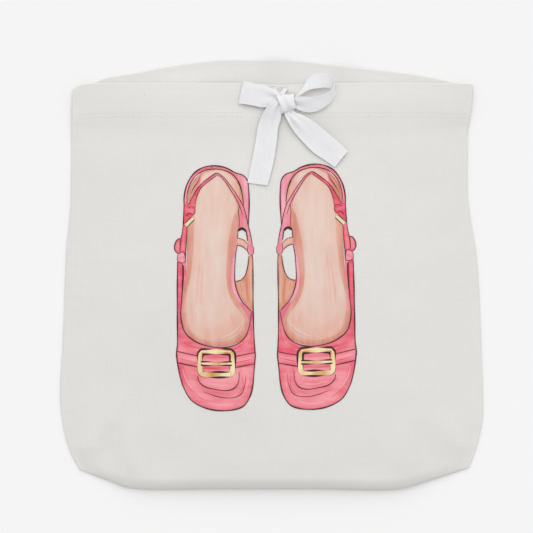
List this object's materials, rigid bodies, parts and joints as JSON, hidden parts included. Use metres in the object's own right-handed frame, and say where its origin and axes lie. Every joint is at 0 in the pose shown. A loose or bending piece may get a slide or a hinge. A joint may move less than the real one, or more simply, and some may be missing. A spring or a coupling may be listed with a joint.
{
  "type": "shoe bag",
  "caption": "Soft canvas shoe bag lying flat, with a boxed bottom, a hemmed mouth and a ribbon drawn through the hem and tied in a bow at the front.",
  "frame": {"origin": "on the surface that the bag lies on, under the middle of its outline", "axes": "+Y towards the mouth, +Z out of the front panel, away from that surface, and +X to the right as the front is looked at"},
  "size_m": [0.3158, 0.322, 0.0291],
  "materials": {
    "canvas": "matt off-white plain-weave cotton canvas",
    "thread": "matt off-white sewing thread",
    "ribbon": "soft white woven ribbon"
  },
  "bodies": {
    "bag": {"back_panel": "canvas", "back_hem": "canvas", "back_hem_stitching": "thread", "ribbon_back": "ribbon", "bottom_gusset": "canvas", "front_panel_lower": "canvas", "front_side_left": "canvas", "front_side_right": "canvas", "left_side_seam": "canvas", "right_side_seam": "canvas", "bottom_seam": "canvas", "left_corner_seam": "canvas", "right_corner_seam": "canvas"},
    "mouth_front": {"front_panel_upper": "canvas", "front_hem": "canvas", "front_hem_stitching": "thread", "ribbon_front_left": "ribbon", "ribbon_front_right": "ribbon", "left_buttonhole": "thread", "right_buttonhole": "thread", "ribbon_leg_left": "ribbon", "ribbon_leg_right": "ribbon", "ribbon_knot": "ribbon"},
    "left_tail": {"ribbon_tail_left": "ribbon"},
    "right_tail": {"ribbon_tail_right": "ribbon"},
    "left_loop": {"ribbon_loop_left": "ribbon"},
    "right_loop": {"ribbon_loop_right": "ribbon"}
  },
  "joints": [
    {"name": "mouth_open", "type": "hinge", "parent": "bag", "child": "mouth_front", "pos_m": [0, 0.02048, 0.02758], "axis": [1, 0, 0], "range_deg": [0, 25]},
    {"name": "left_tail_swing", "type": "hinge", "parent": "mouth_front", "child": "left_tail", "pos_m": [0.012, 0.13, 0.01399], "axis": [0.0038, 0.2003, 0.9797], "range_deg": [-25, 20]},
    {"name": "right_tail_swing", "type": "hinge", "parent": "mouth_front", "child": "right_tail", "pos_m": [0.012, 0.13, 0.01399], "axis": [0.0038, 0.2003, 0.9797], "range_deg": [-25, 25]},
    {"name": "left_loop_lift", "type": "hinge", "parent": "mouth_front", "child": "left_loop", "pos_m": [0.00562, 0.1317, 0.01643], "axis": [0.1815, 0.9633, -0.1977], "range_deg": [0, 60]},
    {"name": "right_loop_lift", "type": "hinge", "parent": "mouth_front", "child": "right_loop", "pos_m": [0.01851, 0.13054, 0.01661], "axis": [0.0008, -0.9797, 0.2003], "range_deg": [0, 60]}
  ]
}
